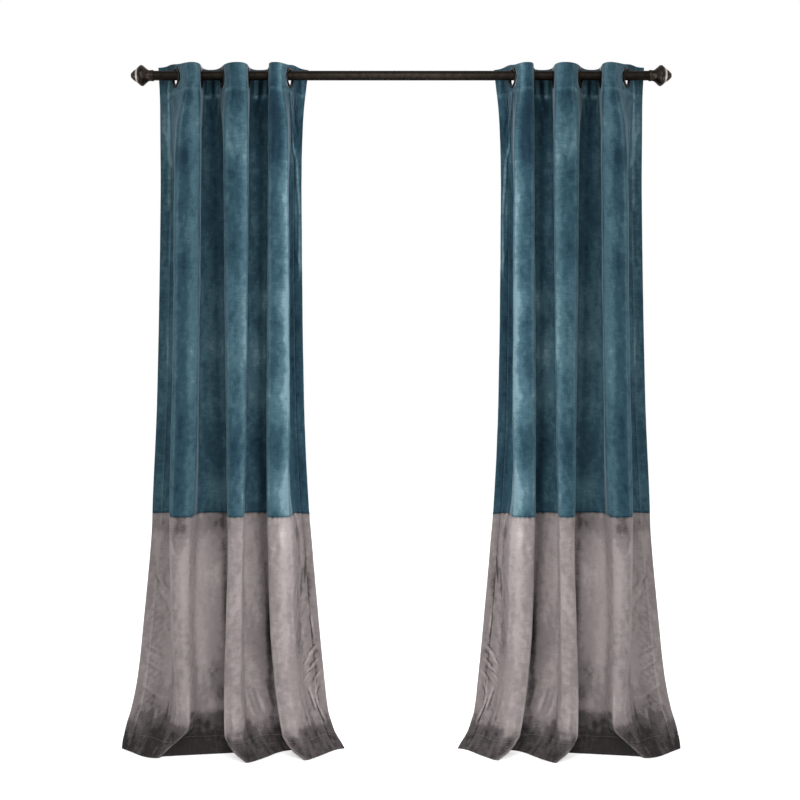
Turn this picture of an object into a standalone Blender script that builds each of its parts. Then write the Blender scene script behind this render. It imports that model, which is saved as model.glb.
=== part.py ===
"""Pair of two-colour eyelet curtains hanging on a rod, with their hems resting on the floor.

Metres, +Z up, +X to the viewer's right, -Y towards the room.
The origin is on the rod's axis, halfway along it.
"""

import math

import bmesh
import bpy
from mathutils import Matrix, Vector

MM = 0.001

# The rod and its two turned finials.
ROD_RADIUS = 14.3 * MM
ROD_LENGTH = 1524 * MM
ROD_SIDES = 24
FINIAL_START = 752 * MM
FINIAL_SIDES = 20
FIT_GAP = 0.3 * MM

# One panel: its flat width, its cloth, and the parting between its two cloths at the seam.
CLOTH_WIDTH = 965 * MM
CLOTH_THICKNESS = 2.4 * MM
SEAM_GAP = 0.4 * MM

# Heights over the rod's axis, in millimetres: the top edge, the seam and the floor.
TOP = 30
SEAM = -1345
FLOOR = -2081

# The eyelets, which hang on the rod by the tops of their bores.
BORE_RADIUS = 21.75 * MM
BORE_LIP = 2 * MM
EYELET_RADIUS = 30.5 * MM
EYELET_HALF_HEIGHT = 4.7 * MM
CROWN_RADIUS = 26 * MM
NECK_RADIUS = 24.2 * MM
HOLE_RADIUS = NECK_RADIUS + FIT_GAP
HOLE_CUTTER_LENGTH = 12 * MM
EYELET_SIDES = 16
BORE_FLAT = BORE_RADIUS * math.cos(math.pi / EYELET_SIDES)
EYELETS = 6

# The corners of a panel's folds in plan, from its outer edge to its inner edge.
# A fold named front passes before the rod, and a fold named back passes behind it.
CORNERS = (
    "outer_edge", "outer_turn", "front1_l", "front1_r", "back1_l", "back1_r", "front2_l",
    "front2_r", "back2_l", "back2_r", "front3_l", "front3_r", "inner_turn", "inner_edge",
)

# Each section of the left panel, in millimetres: its height, how far the cloth has moved
# forward, its folds' form (-1 at the rod, 0 hanging, 1 resting) and X of each corner.
SECTIONS = (
    # z   fwd  form  edge  turn  f1_l  f1_r  b1_l  b1_r  f2_l  f2_r  b2_l  b2_r  f3_l  f3_r  turn  edge
    (TOP, 0, -1, -747, -720, -641, -604, -613, -566, -518, -461, -468, -404, -396, -358, -322, -288),
    (-48, 0, -1, -743, -720, -641, -604, -613, -566, -518, -461, -468, -404, -396, -358, -322, -298),
    (-150, 0, -0.4, -743, -708, -668, -604, -618, -552, -530, -460, -472, -402, -400, -342, -338, -303),
    (-374, 0, 0.0, -745, -698, -684, -607, -622, -545, -535, -460, -478, -402, -403, -339, -352, -307),
    (-987, 0, 0.0, -763, -708, -700, -620, -636, -540, -536, -470, -490, -408, -413, -337, -360, -302),
    (-1298, 0, 0.0, -780, -716, -713, -636, -638, -532, -537, -479, -498, -405, -416, -343, -348, -290),
    (-1420, 0, 0.0, -786, -716, -715, -652, -640, -530, -537, -484, -500, -402, -414, -338, -322, -281),
    (-1708, 0, 0.0, -815, -714, -714, -661, -650, -520, -550, -492, -505, -385, -411, -334, -316, -257),
    (-1867, 0, 0.0, -834, -718, -703, -659, -645, -515, -558, -494, -500, -375, -400, -326, -300, -242),
    (-1963, -12, 0.1, -852, -740, -698, -657, -640, -503, -559, -494, -490, -360, -388, -313, -282, -230),
    (-2005, -31, 0.3, -863, -760, -713, -655, -648, -495, -556, -491, -470, -345, -379, -300, -266, -216),
    (-2027, -42, 0.45, -867, -772, -725, -676, -673, -490, -551, -486, -455, -335, -372, -292, -256, -207),
    (-2060, -62, 0.8, -872, -795, -754, -718, -716, -475, -516, -455, -412, -315, -335, -268, -226, -187),
    (FLOOR, -72, 1.0, -874, -805, -772, -745, -740, -462, -476, -430, -375, -300, -297, -248, -206, -177),
)

# How far behind (+) or before (-) the panel's middle each corner lies, as a share of the
# folds' depth: where the rod holds them, where they hang, and where the hem rests.
AT_ROD = (0.7, 0.85, -1, -1, 1, 1, -1, -1, 1, 1, -1, -1, 0.95, 1.15)
HANGING = (0.8, 1, -1, -1, 1, 1, -1, -1, 1, 1, -1, -1, 1, 0.45)
RESTING = (1, 0, -0.3, -0.3, -0.1, 0.5, -1.1, -0.5, 0.6, 0.9, -0.8, 0, 0.8, 1)

# How far from each corner its rounding reaches: before and behind the rod, at the top of the
# panel and from a little way down.
FRONT_REACH = (16 * MM, 26 * MM)
BACK_REACH = (24 * MM, 28 * MM)
REACH_TOP = -48
REACH_FALL = 300
CORNER_POINTS = 4

# The folds' depth at a height is found by halving the range from nothing to the deepest.
DEEPEST = 150 * MM
HALVINGS = 30

# The heights of the cloth's cross rows: few where it hangs straight, close where it bends.
UPPER_ROWS = (TOP, -48, -150, -374, -680, -987, -1150, -1250, SEAM)
LOWER_ROWS = (SEAM, -1450, -1580, -1708, -1800, -1867, -1920, -1963, -1998, -2027, -2045, -2060, -2072, FLOOR)

# Each finial's turned outline, from the mouth of the socket that takes the rod to its tip.
SOCKET_DEPTH = ROD_LENGTH / 2 - FINIAL_START + FIT_GAP
SOCKET_RADIUS = ROD_RADIUS + FIT_GAP
FINIAL_OUTLINE = (
    # along  radius, in millimetres
    (0.0, 16.0),
    (2.0, 16.8),
    (7.0, 16.8),
    (10.0, 15.8),
    (17.0, 17.2),
    (31.0, 28.8),
    (34.0, 31.0),
    (37.0, 31.0),
    (40.0, 29.0),
    (54.5, 17.4),
    (57.0, 16.8),
    (59.0, 15.2),
    (66.0, 9.0),
    (68.5, 6.0),
    (69.0, 0.0),
)


def material(name, colour, roughness, metallic):
    """A plain finish: its colour, how matt it is and whether it is bare metal."""
    finish = bpy.data.materials.new(name)
    finish.use_nodes = True
    shader = finish.node_tree.nodes["Principled BSDF"]
    shader.inputs["Base Color"].default_value = (*colour, 1.0)
    shader.inputs["Roughness"].default_value = roughness
    shader.inputs["Metallic"].default_value = metallic
    finish.diffuse_color = (*colour, 1.0)
    return finish


def new_object(name, bm, finish=None, smooth=40):
    """Turns a bmesh into an object, shaded smooth except over sharp edges."""
    mesh = bpy.data.meshes.new(name)
    bm.to_mesh(mesh)
    bm.free()
    mesh.shade_smooth()
    mesh.set_sharp_from_angle(angle=math.radians(smooth))
    thing = bpy.data.objects.new(name, mesh)
    bpy.context.scene.collection.objects.link(thing)
    if finish:
        mesh.materials.append(finish)
    return thing


def turned(profile, sides):
    """Spins an outline of (along, radius) points a full turn about X.

    An outline that starts off the axis is a ring's, so its last point is joined to its first.
    """
    bm = bmesh.new()
    points = [bm.verts.new((along, 0, radius)) for along, radius in profile]
    edges = [bm.edges.new(pair) for pair in zip(points, points[1:])]
    if profile[0][1] > 0:
        edges.append(bm.edges.new((points[-1], points[0])))
    bmesh.ops.spin(bm, geom=points + edges, axis=(1, 0, 0), cent=(0, 0, 0), angle=math.tau,
                   steps=sides, use_merge=True)
    bmesh.ops.remove_doubles(bm, verts=bm.verts, dist=0.01 * MM)
    bmesh.ops.recalc_face_normals(bm, faces=bm.faces)
    return bm


def section_at(z):
    """The row of the section table at a height, smoothly between the rows above and below."""
    rows = SECTIONS
    z = min(max(z, rows[-1][0]), rows[0][0])
    lower = next(i for i in range(1, len(rows)) if z >= rows[i][0])
    upper = lower - 1
    span = rows[lower][0] - rows[upper][0]
    share = (z - rows[upper][0]) / span
    before = rows[max(upper - 1, 0)]
    after = rows[min(lower + 1, len(rows) - 1)]
    values = []
    for column in range(1, len(rows[0])):
        start, end = rows[upper][column], rows[lower][column]
        leave = (end - before[column]) / (rows[lower][0] - before[0]) * span
        arrive = (after[column] - start) / (after[0] - rows[upper][0]) * span
        values.append(
            (2 * share**3 - 3 * share**2 + 1) * start
            + (share**3 - 2 * share**2 + share) * leave
            + (3 * share**2 - 2 * share**3) * end
            + (share**3 - share**2) * arrive
        )
    return values


def rounded(corners, below):
    """Rounds each corner of a plan line, so that every plan has the same number of points.

    below is 0 at the eyelets and 1 further down, where the folds turn more softly.
    """
    line = [corners[0]]
    for number, corner in enumerate(corners[1:-1], start=1):
        at_top, lower_down = BACK_REACH if HANGING[number] > 0 else FRONT_REACH
        reach = at_top + (lower_down - at_top) * below
        back, ahead = corners[number - 1] - corner, corners[number + 1] - corner
        near_back = min(reach, 0.45 * back.length)
        near_ahead = min(reach, 0.45 * ahead.length)
        start = corner + back.normalized() * near_back
        end = corner + ahead.normalized() * near_ahead
        for step in range(CORNER_POINTS):
            share = step / (CORNER_POINTS - 1)
            line.append(start * (1 - share) ** 2 + corner * 2 * share * (1 - share) + end * share**2)
    line.append(corners[-1])
    return line


def length_of(line):
    return sum((end - start).length for start, end in zip(line, line[1:]))


def corners_at(z, depth):
    """The plan's corners at a height in millimetres, for one depth of the folds."""
    forward, form, *across = section_at(z)
    other = AT_ROD if form < 0 else RESTING
    shares = [hang + (end - hang) * abs(form) for hang, end in zip(HANGING, other)]
    return [Vector((x * MM, forward * MM + share * depth)) for x, share in zip(across, shares)]


def plan_at(z):
    """The cloth's line in plan at a height, its folds as deep as the cloth's width makes them."""
    below = min(max((REACH_TOP - z) / REACH_FALL, 0), 1)
    shallow, deep = 0.0, DEEPEST
    for _ in range(HALVINGS):
        depth = (shallow + deep) / 2
        if length_of(rounded(corners_at(z, depth), below)) < CLOTH_WIDTH:
            shallow = depth
        else:
            deep = depth
    return rounded(corners_at(z, depth), below), corners_at(z, depth)


def cloth(name, rows, finish, side):
    """One band of a panel: a sheet on its folds, from the first row's height to the last's.

    side is 1 for the left panel and -1 for the right one, which is its mirror image.
    """
    columns = 2 + (len(CORNERS) - 2) * CORNER_POINTS
    bm = bmesh.new()
    bmesh.ops.create_grid(bm, x_segments=columns - 1, y_segments=len(rows) - 1, size=1)
    plans = [plan_at(z)[0] for z in rows]
    for vertex in bm.verts:
        column = round((vertex.co.x + 1) / 2 * (columns - 1))
        row = round((1 - vertex.co.y) / 2 * (len(rows) - 1))
        point = plans[row][column]
        vertex.co = Vector((side * point.x, point.y, rows[row] * MM))
    sheet = new_object(name, bm, finish, smooth=60)
    solid = sheet.modifiers.new("thickness", "SOLIDIFY")
    solid.thickness = CLOTH_THICKNESS
    solid.offset = 0
    solid.use_even_offset = True
    return sheet


def hanging_height(axis):
    """How high an eyelet's centre is when its bore rests on the rod.

    Seen along the rod, a turned bore is an ellipse. A wide one touches the rod at its top, and
    a narrow one on both sides of the top, which holds it higher.
    """
    tilt = math.atan2(abs(axis.y), abs(axis.x))
    half_width = BORE_FLAT * math.cos(tilt) - BORE_LIP * math.sin(tilt)
    touch = ROD_RADIUS + FIT_GAP
    if half_width**2 >= touch * BORE_FLAT:
        return touch - BORE_FLAT
    return -math.sqrt((BORE_FLAT**2 - half_width**2) * (1 - (touch / half_width) ** 2))


def eyelet_places(side):
    """Where each eyelet's centre is, and which way its axis points, on the panel's sides."""
    corners = plan_at(UPPER_ROWS[0])[1]
    places = []
    for number in range(EYELETS):
        start, end = corners[1 + 2 * number], corners[2 + 2 * number]
        share = start.y / (start.y - end.y)
        centre = start.lerp(end, share)
        run = (end - start).normalized()
        axis = Vector((side * run.y, -run.x, 0))
        places.append((Vector((side * centre.x, 0, hanging_height(axis))), axis))
    return places


def along(direction):
    """The turn about Z that takes +X onto a level direction."""
    return Matrix.Rotation(math.atan2(direction.y, direction.x), 4, "Z")


def cut_eyelet_holes(sheet, side):
    """Cuts the six round holes that the eyelets are set in."""
    bm = bmesh.new()
    for centre, axis in eyelet_places(side):
        lying = Matrix.Rotation(math.pi / 2, 4, "Y")
        place = Matrix.Translation(centre) @ along(axis) @ lying
        bmesh.ops.create_cone(bm, cap_ends=True, segments=EYELET_SIDES, radius1=HOLE_RADIUS,
                              radius2=HOLE_RADIUS, depth=HOLE_CUTTER_LENGTH, matrix=place)
    cutter = new_object(sheet.name + "_hole_cutter", bm)
    cutter.hide_render = True
    cutter.display_type = "WIRE"
    holes = sheet.modifiers.new("eyelet_holes", "BOOLEAN")
    holes.operation = "DIFFERENCE"
    holes.object = cutter


def eyelet(name, centre, axis, finish):
    """A two-faced metal ring whose groove grips the cloth."""
    groove = CLOTH_THICKNESS / 2 + FIT_GAP
    profile = (
        (-BORE_LIP, BORE_RADIUS),
        (BORE_LIP, BORE_RADIUS),
        (EYELET_HALF_HEIGHT, CROWN_RADIUS),
        (groove, EYELET_RADIUS),
        (groove, NECK_RADIUS),
        (-groove, NECK_RADIUS),
        (-groove, EYELET_RADIUS),
        (-EYELET_HALF_HEIGHT, CROWN_RADIUS),
    )
    ring = new_object(name, turned(profile, EYELET_SIDES), finish, smooth=50)
    ring.matrix_world = Matrix.Translation(centre) @ along(axis)
    return ring


def rod(finish):
    """The round bar that both panels hang on, its ends in the finials' sockets."""
    half = ROD_LENGTH / 2
    profile = ((-half, 0), (-half, ROD_RADIUS), (half, ROD_RADIUS), (half, 0))
    return new_object("rod", turned(profile, ROD_SIDES), finish)


def finial(name, side, finish):
    """A turned knob on the rod's end: socket, collar, two-sided cone, bead and tip."""
    profile = [(SOCKET_DEPTH, 0), (SOCKET_DEPTH, SOCKET_RADIUS), (0, SOCKET_RADIUS)]
    profile += [(at * MM, radius * MM) for at, radius in FINIAL_OUTLINE]
    knob = new_object(name, turned(profile, FINIAL_SIDES), finish)
    turn = 0 if side > 0 else math.pi
    knob.matrix_world = Matrix.Translation((side * FINIAL_START, 0, 0)) @ Matrix.Rotation(turn, 4, "Z")
    return knob


def panel(word, side, upper, lower, metal):
    """One curtain: its upper cloth with six eyelets, and the band sewn on below it."""
    top_rows = list(UPPER_ROWS)
    top_rows[-1] += SEAM_GAP / MM / 2
    low_rows = list(LOWER_ROWS)
    low_rows[0] -= SEAM_GAP / MM / 2
    top = cloth(word + "_upper_cloth", top_rows, upper, side)
    cut_eyelet_holes(top, side)
    cloth(word + "_lower_band", low_rows, lower, side)
    for number, (centre, axis) in enumerate(eyelet_places(side), start=1):
        eyelet(f"{word}_eyelet_{number}", centre, axis, metal)


def main():
    for thing in list(bpy.data.objects):
        bpy.data.objects.remove(thing)
    bronze = material("dark bronze", (0.045, 0.036, 0.030), 0.42, 0.6)
    teal = material("teal velvet", (0.045, 0.115, 0.160), 0.85, 0.0)
    grey = material("warm grey velvet", (0.230, 0.200, 0.195), 0.85, 0.0)
    rod(bronze)
    finial("left_finial", -1, bronze)
    finial("right_finial", 1, bronze)
    panel("left", 1, teal, grey, bronze)
    panel("right", -1, teal, grey, bronze)


main()
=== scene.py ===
# %% [markdown]
# # Pair of two-colour velvet curtains on a rod
# The solids of this object are already modelled and packed, with the true shape in which the
# cloth hangs. This lesson dresses them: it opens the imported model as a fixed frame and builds
# fine cloth, turned metal and their finishes exactly where the solids are. Everything is in
# metres, +Z is up, +X is to the viewer's right, and the rod's axis is the origin.

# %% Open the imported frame
import math

import bmesh
import bpy
import numpy as np
from mathutils import Matrix, Vector


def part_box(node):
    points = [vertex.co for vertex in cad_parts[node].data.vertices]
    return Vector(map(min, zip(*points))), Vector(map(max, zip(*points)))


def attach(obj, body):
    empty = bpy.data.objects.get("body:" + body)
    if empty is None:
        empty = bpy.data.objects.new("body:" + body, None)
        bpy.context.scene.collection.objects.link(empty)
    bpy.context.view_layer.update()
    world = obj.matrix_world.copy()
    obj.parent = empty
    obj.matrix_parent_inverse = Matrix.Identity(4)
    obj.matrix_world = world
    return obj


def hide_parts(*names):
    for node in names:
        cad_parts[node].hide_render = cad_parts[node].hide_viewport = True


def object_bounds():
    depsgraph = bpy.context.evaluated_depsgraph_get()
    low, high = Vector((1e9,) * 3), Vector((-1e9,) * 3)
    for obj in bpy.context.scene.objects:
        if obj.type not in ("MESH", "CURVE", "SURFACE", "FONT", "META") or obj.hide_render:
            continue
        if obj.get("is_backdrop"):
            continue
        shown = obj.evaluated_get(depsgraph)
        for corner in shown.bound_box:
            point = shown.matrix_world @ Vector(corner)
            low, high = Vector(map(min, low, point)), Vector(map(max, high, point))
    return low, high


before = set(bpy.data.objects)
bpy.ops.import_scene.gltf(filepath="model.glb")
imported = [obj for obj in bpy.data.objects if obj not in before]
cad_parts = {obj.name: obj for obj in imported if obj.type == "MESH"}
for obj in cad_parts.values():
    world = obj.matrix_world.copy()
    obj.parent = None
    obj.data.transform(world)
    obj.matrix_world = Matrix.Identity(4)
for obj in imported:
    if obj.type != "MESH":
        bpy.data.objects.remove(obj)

MM = 0.001
cad_box = [list(corner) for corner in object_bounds()]
print("the solids reach from", [round(v, 3) for v in cad_box[0]], "to", [round(v, 3) for v in cad_box[1]])

# %% [markdown]
# ## Where the photograph was taken from
# The lens of a product photograph is fitted by trial: the rod's ends, the hem's corners and the
# height of the seam have to fall on the same pixels. Here the camera stands 3.4 m in front of
# the rod, 0.8 m below it, and looks down by a little over 3 degrees.

# %% Camera
CAMERA_PLACE = (-0.0037, -3.427, -0.7866)
LOOKS_DOWN = 3.348


def shown(name, data):
    """A new object for a lens, a lamp or a mesh, put in the scene."""
    made = bpy.data.objects.new(name, data)
    bpy.context.scene.collection.objects.link(made)
    return made


camera = shown("camera", bpy.data.cameras.new("camera"))
camera.data.lens = 50
camera.data.sensor_width = 36
camera.location = CAMERA_PLACE
camera.rotation_euler = (math.radians(90 - LOOKS_DOWN), 0, 0)
bpy.context.scene.camera = camera
print("camera", round(camera.location.length, 2), "m from the middle of the rod")

# %% [markdown]
# ## A plain white studio
# The background of the photograph is pure white. A wide pale floor catches a faint contact
# shadow at the hems, and the world is white where the camera sees it and a little dimmer
# as a light, so that the folds keep their shading.

# %% Floor
bpy.context.scene.view_settings.view_transform = "Standard"
FLOOR_HEIGHT = cad_box[0][2] - 0.5 * MM
FLOOR_HALF_WIDTH = 20


def mesh_piece(name, bm):
    """A smooth-shaded object with the shape of a bmesh, which is freed."""
    mesh = bpy.data.meshes.new(name)
    bm.to_mesh(mesh)
    bm.free()
    mesh.shade_smooth()
    return shown(name, mesh)


def connect(tree, source, target):
    tree.links.new(source, target)


def add_node(tree, kind, values=()):
    """A new shader node, with some of its sockets set."""
    node = tree.nodes.new("ShaderNode" + kind)
    for socket, value in dict(values).items():
        node.inputs[socket].default_value = value
    return node


def two_looks(tree, for_light, for_camera, output):
    """The camera sees one look, and all other rays meet the other."""
    rays = add_node(tree, "LightPath")
    pick = add_node(tree, "MixShader")
    connect(tree, rays.outputs["Is Camera Ray"], pick.inputs[0])
    connect(tree, for_light.outputs[0], pick.inputs[1])
    connect(tree, for_camera.outputs[0], pick.inputs[2])
    connect(tree, pick.outputs[0], output.inputs["Surface"])


bm = bmesh.new()
bmesh.ops.create_grid(bm, x_segments=1, y_segments=1, size=FLOOR_HALF_WIDTH)
bmesh.ops.translate(bm, verts=bm.verts, vec=(0, 0, FLOOR_HEIGHT))
floor = mesh_piece("studio_floor", bm)
floor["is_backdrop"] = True

floor_paint = bpy.data.materials.new("pale floor")
floor_paint.use_nodes = True
tree = floor_paint.node_tree
tree.nodes.clear()
bounce = add_node(tree, "BsdfDiffuse", {"Color": (0.55, 0.55, 0.55, 1)})
seen = add_node(tree, "BsdfDiffuse", {"Color": (0.95, 0.95, 0.95, 1)})
glow = add_node(tree, "Emission", {"Strength": 0.43})
both = add_node(tree, "AddShader")
connect(tree, seen.outputs[0], both.inputs[0])
connect(tree, glow.outputs[0], both.inputs[1])
two_looks(tree, bounce, both, add_node(tree, "OutputMaterial"))
floor.data.materials.append(floor_paint)
print("floor at", round(FLOOR_HEIGHT, 4), "m")

# %% World
studio = bpy.data.worlds.new("studio")
bpy.context.scene.world = studio
studio.use_nodes = True
tree = studio.node_tree
tree.nodes.clear()
room_light = add_node(tree, "Background", {"Color": (1, 1, 1, 1), "Strength": 0.62})
backdrop = add_node(tree, "Background", {"Color": (1, 1, 1, 1), "Strength": 1.0})
two_looks(tree, room_light, backdrop, add_node(tree, "OutputWorld"))
print("the world lights with", room_light.inputs["Strength"].default_value)

# %% [markdown]
# ## Light from between the panels
# On both panels every front fold grows paler towards the gap, and the fold nearest the gap is
# the palest. So the main light is a tall, narrow soft box between the panels and close to
# them. A large dim one fills from the camera's side, a weaker one lights the backs, and a weak
# strip beyond each panel draws the thin pale line on the folds' outer edges.


# %% Lights
def soft_box(name, place, aim, width, height, watts):
    """A rectangular lamp that lights the scene without showing in it."""
    data = bpy.data.lights.new(name, "AREA")
    data.shape = "RECTANGLE"
    data.size = width
    data.size_y = height
    data.energy = watts
    lamp = shown(name, data)
    lamp.location = place
    lamp.rotation_euler = (Vector(aim) - Vector(place)).to_track_quat("-Z", "Z").to_euler()
    lamp.visible_camera = False


soft_box("middle_light", (0, -0.62, -0.85), (0, 0, -0.85), 0.35, 2.6, 11)
soft_box("front_fill", (0, -4.2, 0.6), (0, 0, -1.0), 3.5, 2.5, 72)
soft_box("back_fill", (0, 4.2, 0.6), (0, 0, -1.0), 3.5, 2.5, 56)
for side in (-1, 1):
    soft_box(f"outer_light_{side}", (side * 2.2, -0.7, -0.8), (side * 0.7, 0, -0.9), 0.5, 2.4, 12)

# %% [markdown]
# ## How the cloth is folded
# A curtain is a flat cloth that hangs in waves. Seen from above, its line passes before the
# rod, through an eyelet, behind the rod, and so on. The table gives the corners of that line at
# a few heights, the same as in the solids, and everything between is eased from row to row.
# The line's length is always the cloth's own width, so a deeper fold is a narrower one. That is
# truer than pushing a plane about with noise, because cloth bends but doesn't stretch.

# %% Heights and fold corners, the same as in the solids
TOP, SEAM, FLOOR = 30, -1345, -2081
CLOTH_WIDTH = 965
SECTIONS = (
    # z   fwd  form  edge  turn  f1_l  f1_r  b1_l  b1_r  f2_l  f2_r  b2_l  b2_r  f3_l  f3_r  turn  edge
    (TOP, 0, -1, -747, -720, -641, -604, -613, -566, -518, -461, -468, -404, -396, -358, -322, -288),
    (-48, 0, -1, -743, -720, -641, -604, -613, -566, -518, -461, -468, -404, -396, -358, -322, -298),
    (-150, 0, -0.4, -743, -708, -668, -604, -618, -552, -530, -460, -472, -402, -400, -342, -338, -303),
    (-374, 0, 0.0, -745, -698, -684, -607, -622, -545, -535, -460, -478, -402, -403, -339, -352, -307),
    (-987, 0, 0.0, -763, -708, -700, -620, -636, -540, -536, -470, -490, -408, -413, -337, -360, -302),
    (-1298, 0, 0.0, -780, -716, -713, -636, -638, -532, -537, -479, -498, -405, -416, -343, -348, -290),
    (-1420, 0, 0.0, -786, -716, -715, -652, -640, -530, -537, -484, -500, -402, -414, -338, -322, -281),
    (-1708, 0, 0.0, -815, -714, -714, -661, -650, -520, -550, -492, -505, -385, -411, -334, -316, -257),
    (-1867, 0, 0.0, -834, -718, -703, -659, -645, -515, -558, -494, -500, -375, -400, -326, -300, -242),
    (-1963, -12, 0.1, -852, -740, -698, -657, -640, -503, -559, -494, -490, -360, -388, -313, -282, -230),
    (-2005, -31, 0.3, -863, -760, -713, -655, -648, -495, -556, -491, -470, -345, -379, -300, -266, -216),
    (-2027, -42, 0.45, -867, -772, -725, -676, -673, -490, -551, -486, -455, -335, -372, -292, -256, -207),
    (-2060, -62, 0.8, -872, -795, -754, -718, -716, -475, -516, -455, -412, -315, -335, -268, -226, -187),
    (FLOOR, -72, 1.0, -874, -805, -772, -745, -740, -462, -476, -430, -375, -300, -297, -248, -206, -177),
)
AT_ROD = (0.7, 0.85, -1, -1, 1, 1, -1, -1, 1, 1, -1, -1, 0.95, 1.15)
HANGING = (0.8, 1, -1, -1, 1, 1, -1, -1, 1, 1, -1, -1, 1, 0.45)
RESTING = (1, 0, -0.3, -0.3, -0.1, 0.5, -1.1, -0.5, 0.6, 0.9, -0.8, 0, 0.8, 1)
FRONT_REACH = (16, 26)
BACK_REACH = (24, 28)
CORNER_POINTS = 9


def section_at(z):
    """The table's row at a height, eased between the rows above and below."""
    rows = SECTIONS
    z = min(max(z, rows[-1][0]), rows[0][0])
    lower = next(i for i in range(1, len(rows)) if z >= rows[i][0])
    upper = lower - 1
    span = rows[lower][0] - rows[upper][0]
    share = (z - rows[upper][0]) / span
    before, after = rows[max(upper - 1, 0)], rows[min(lower + 1, len(rows) - 1)]
    start, end = np.array(rows[upper][1:]), np.array(rows[lower][1:])
    leave = (end - np.array(before[1:])) / (rows[lower][0] - before[0]) * span
    arrive = (np.array(after[1:]) - start) / (after[0] - rows[upper][0]) * span
    return (
        (2 * share**3 - 3 * share**2 + 1) * start
        + (share**3 - 2 * share**2 + share) * leave
        + (3 * share**2 - 2 * share**3) * end
        + (share**3 - share**2) * arrive
    )


print(len(SECTIONS), "sections of", len(AT_ROD), "corners")

# %% [markdown]
# The line in plan has round corners, which change their shape near the eyelets. Its depth is
# found by halving a range until the line is as long as the cloth is wide. A place across the
# cloth is then a length along the line, so one thread keeps its place from the top to the hem.


# %% The cloth's line at one height
def rounded_line(corners, below, above):
    """The corners joined, each one rounded with a short parabola.

    The rounding takes nearly the whole of a fold's face. At the eyelets it also reaches
    further along the fold's sides, and most of all at the top edge, which is a plain wave.
    """
    line = [corners[0]]
    for number in range(1, len(corners) - 1):
        corner = corners[number]
        at_top, lower_down = BACK_REACH if HANGING[number] > 0 else FRONT_REACH
        reach = at_top + (lower_down - at_top) * below
        back, ahead = corners[number - 1] - corner, corners[number + 1] - corner
        back_length, ahead_length = np.hypot(*back), np.hypot(*ahead)
        on_face = reach + 8 + 4 * (1 - below)
        on_side = max(reach, 25 - 25 * below + 32 * above)
        back_reach, ahead_reach = (on_side, on_face) if number % 2 == 0 else (on_face, on_side)
        most = 0.45 + 0.04 * (1 - below)
        start = corner + back * min(back_reach / back_length, most)
        end = corner + ahead * min(ahead_reach / ahead_length, most)
        for share in np.linspace(0, 1, CORNER_POINTS):
            line.append(start * (1 - share) ** 2 + corner * 2 * share * (1 - share) + end * share**2)
    line.append(corners[-1])
    return np.array(line)


def steps_along(line):
    return np.concatenate([[0], np.cumsum(np.hypot(*np.diff(line, axis=0).T))])


def corners_at(z, depth):
    forward, form, *across = section_at(z)
    other = AT_ROD if form < 0 else RESTING
    shares = np.array(HANGING) + (np.array(other) - np.array(HANGING)) * abs(form)
    return np.column_stack([across, forward + shares * depth])


UNDER_EYELETS = -48
CALMED_OVER = 300
OVER_BORES = -10


def line_at(z):
    """The plan's line in millimetres at a height, as long as the cloth is wide."""
    below = min(max((UNDER_EYELETS - z) / CALMED_OVER, 0), 1)
    above = min(max((z - OVER_BORES) / (TOP - OVER_BORES), 0), 1)
    shallow, deep = 0.0, 150.0
    for _ in range(20):
        depth = (shallow + deep) / 2
        if steps_along(rounded_line(corners_at(z, depth), below, above))[-1] < CLOTH_WIDTH:
            shallow = depth
        else:
            deep = depth
    return rounded_line(corners_at(z, depth), below, above)


def corner_steps(line):
    """How far along the cloth each corner of the line is, as a share of its width."""
    middles = [0] + [1 + CORNER_POINTS * n + CORNER_POINTS // 2 for n in range(len(AT_ROD) - 2)] + [-1]
    steps = steps_along(line)
    return steps[middles] / steps[-1]


print("line at the seam:", len(line_at(SEAM)), "points,", round(steps_along(line_at(SEAM))[-1]), "mm")

# %% [markdown]
# ## Where the cloth gets its fine rows
# A stitched groove is 3 mm wide, and plain velvet needs a row only every 5 to 9 mm. So
# the grid's lines are close together near the heading, the hems and the seam, and further
# apart elsewhere, which keeps the piece light.


# %% Grid lines across and down the cloth
HEADING = 76
SIDE_HEM = 30
BOTTOM_HEM = 44
LENGTH = TOP - FLOOR


def spread(start, end, coarse, fine, close_to, near):
    """Places from start to end: fine steps near the given places, coarse ones elsewhere."""
    places = [start]
    while places[-1] < end - fine * 0.5:
        here = places[-1]
        step = fine if any(abs(here - c) < near for c in close_to) else coarse
        ahead = [c - near for c in close_to if here < c - near]
        if ahead:
            step = min(step, max(min(ahead) - here, fine))
        places.append(min(here + step, end))
    places[-1] = end
    return np.array(places)


CREASED = (903, 915, 925)
FINE_COLUMNS = (0, SIDE_HEM, *CREASED, CLOTH_WIDTH - SIDE_HEM, CLOTH_WIDTH)
ACROSS = spread(0, CLOTH_WIDTH, 4.5, 2.0, FINE_COLUMNS, 6)
SEAM_DOWN = TOP - SEAM
UPPER_DOWN = spread(0, SEAM_DOWN, 8.5, 2.0, (0, HEADING, SEAM_DOWN), 7)
LOWER_DOWN = spread(SEAM_DOWN, LENGTH, 4.8, 2.0, (SEAM_DOWN, LENGTH - BOTTOM_HEM, LENGTH), 6)
print(len(ACROSS), "columns,", len(UPPER_DOWN), "rows above the seam,", len(LOWER_DOWN), "below it")
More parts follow.
